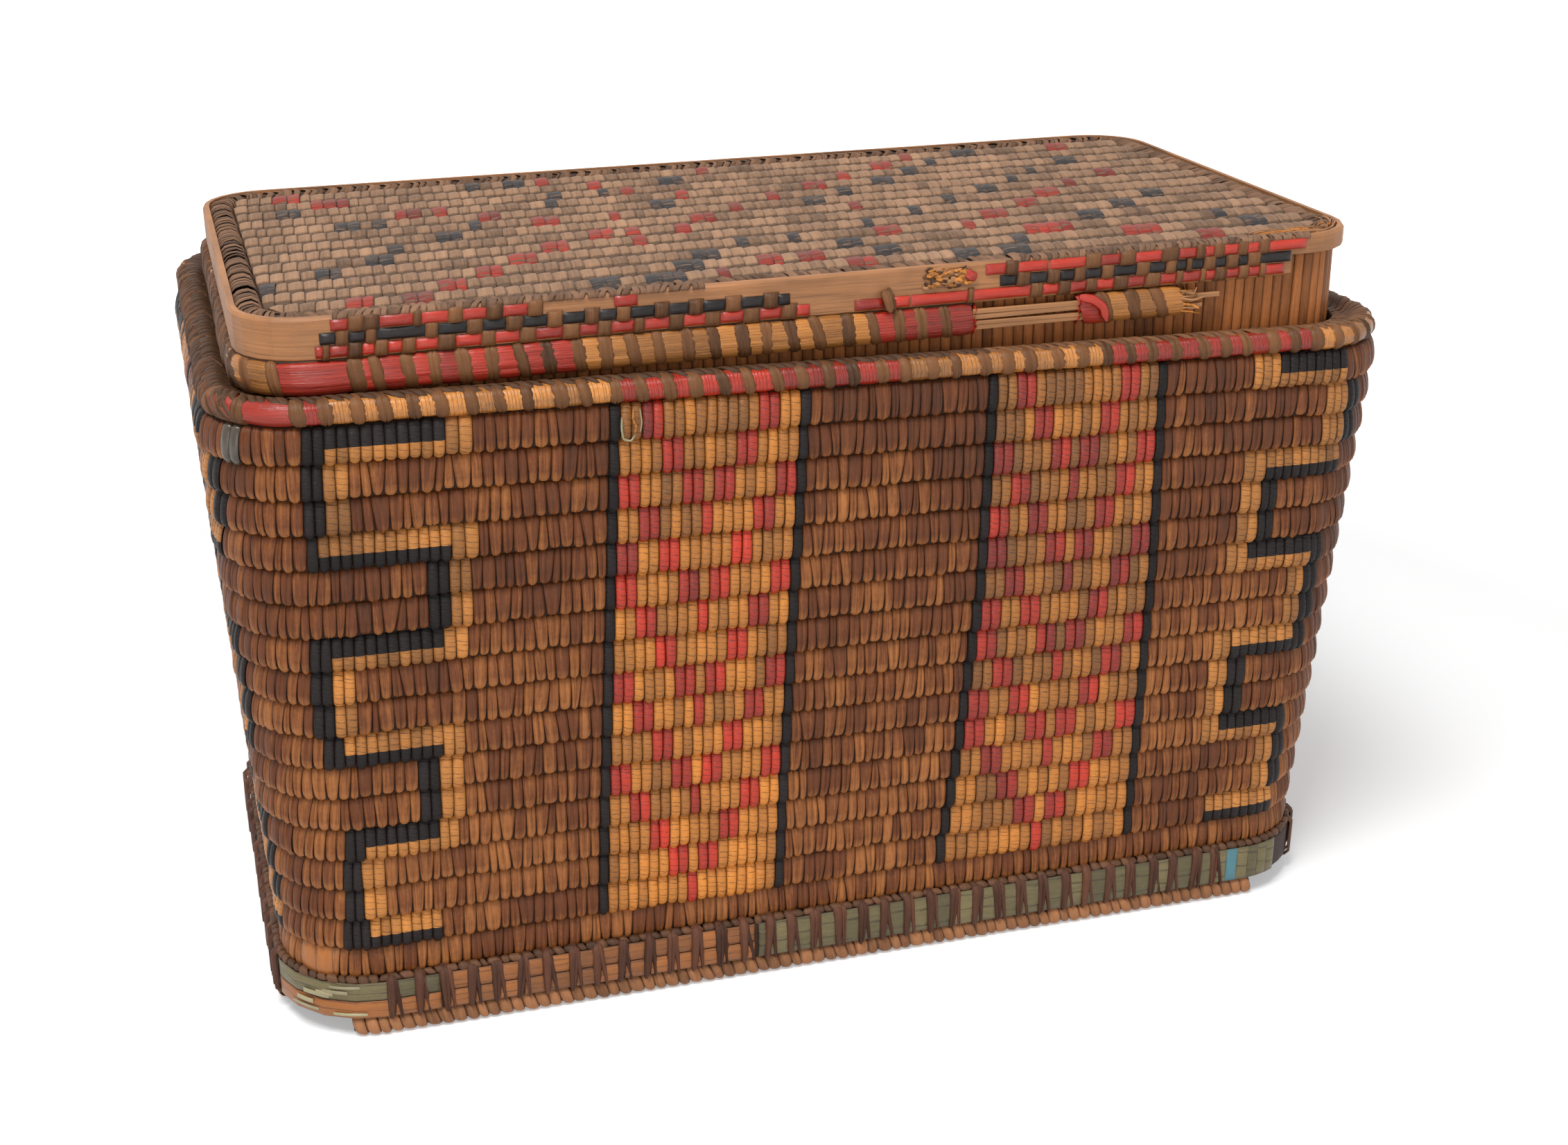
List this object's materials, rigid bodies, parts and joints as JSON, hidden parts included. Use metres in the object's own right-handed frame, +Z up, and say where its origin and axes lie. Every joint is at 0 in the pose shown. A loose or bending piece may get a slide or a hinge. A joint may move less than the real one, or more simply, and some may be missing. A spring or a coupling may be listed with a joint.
{
  "type": "basketry trunk",
  "caption": "Rectangular coiled basket trunk: wrapped splint coils lean out to a beaded rim, on a low foot, under a flat lift-off lid with a bent skirt that drops over a collar.",
  "frame": {"origin": "middle of the underside of the foot", "axes": "+X to the right along the long front, +Y from the front to the back, +Z up; the front faces -Y"},
  "size_m": [0.6189, 0.334, 0.3879],
  "materials": {
    "root_wrapped_course": "split root stitches, brown with yellow, red and black straw, low sheen",
    "base_coil": "split root, brown, matte",
    "weathered_lid_coil": "split root weathered grey brown, matte",
    "foot_slat_and_root": "flat splint wrapped with brown root",
    "foot_coil": "root wrapped splint coil, matte",
    "green_grass_beading": "dyed grass, dull green, slight gloss",
    "yellow_grass_beading": "straw yellow grass, slight gloss",
    "beaded_rim_coil": "brown root over red and yellow straw, low sheen",
    "plaited_root": "plaited split root, matte",
    "collar_root_wrap": "upright split root over a slat, low sheen",
    "weathered_border_coil": "close wrapped root, dark and worn",
    "bare_splint": "bare flat splint, pale brown, fine grain",
    "beaded_lid_coil": "brown root over red and straw beads, glossy where red",
    "broken_splint": "fresh broken splint, pale",
    "root_wrapped_stub": "root wrapped straw, loose end",
    "black_strip": "dyed black strip, low sheen",
    "red_strip": "dyed red strip, slight gloss"
  },
  "bodies": {
    "trunk": {"foot_band": "foot_slat_and_root", "foot_coil_front": "foot_coil", "foot_coil_ends": "foot_coil", "foot_beading_left": "green_grass_beading", "foot_beading_middle": "yellow_grass_beading", "foot_beading_right": "green_grass_beading", "base_row_01": "base_coil", "base_row_02": "base_coil", "base_row_03": "base_coil", "base_row_04": "base_coil", "base_row_05": "base_coil", "base_row_06": "base_coil", "base_row_07": "base_coil", "base_row_08": "base_coil", "base_row_09": "base_coil", "wall_course_01": "root_wrapped_course", "wall_course_02": "root_wrapped_course", "wall_course_03": "root_wrapped_course", "wall_course_04": "root_wrapped_course", "wall_course_05": "root_wrapped_course", "wall_course_06": "root_wrapped_course", "wall_course_07": "root_wrapped_course", "wall_course_08": "root_wrapped_course", "wall_course_09": "root_wrapped_course", "wall_course_10": "root_wrapped_course", "wall_course_11": "root_wrapped_course", "wall_course_12": "root_wrapped_course", "wall_course_13": "root_wrapped_course", "wall_course_14": "root_wrapped_course", "wall_course_15": "root_wrapped_course", "wall_course_16": "root_wrapped_course", "wall_course_17": "root_wrapped_course", "rim_coil": "beaded_rim_coil", "shoulder_braid": "plaited_root", "collar": "collar_root_wrap"},
    "lid": {"lid_border_coil": "weathered_border_coil", "lid_row_01": "weathered_lid_coil", "lid_row_02": "weathered_lid_coil", "lid_row_03": "weathered_lid_coil", "lid_row_04": "weathered_lid_coil", "lid_row_05": "weathered_lid_coil", "lid_row_06": "weathered_lid_coil", "lid_row_07": "weathered_lid_coil", "lid_row_08": "weathered_lid_coil", "lid_row_09": "weathered_lid_coil", "lid_row_10": "weathered_lid_coil", "lid_row_11": "weathered_lid_coil", "lid_row_12": "weathered_lid_coil", "lid_row_13": "weathered_lid_coil", "lid_skirt_slat": "bare_splint", "lid_strip_red_upper_left": "red_strip", "lid_strip_red_upper_right": "red_strip", "lid_strip_black_left": "black_strip", "lid_strip_black_right": "black_strip", "lid_strip_red_lower_left": "red_strip", "lid_strip_red_lower_right": "red_strip", "lid_rim_coil": "beaded_lid_coil", "lid_rim_splints": "broken_splint", "lid_rim_stub": "root_wrapped_stub"}
  },
  "joints": [
    {"name": "lid_lift", "type": "slide", "parent": "trunk", "child": "lid", "axis": [0, 0, 1], "range_m": [0, 0.3]}
  ]
}
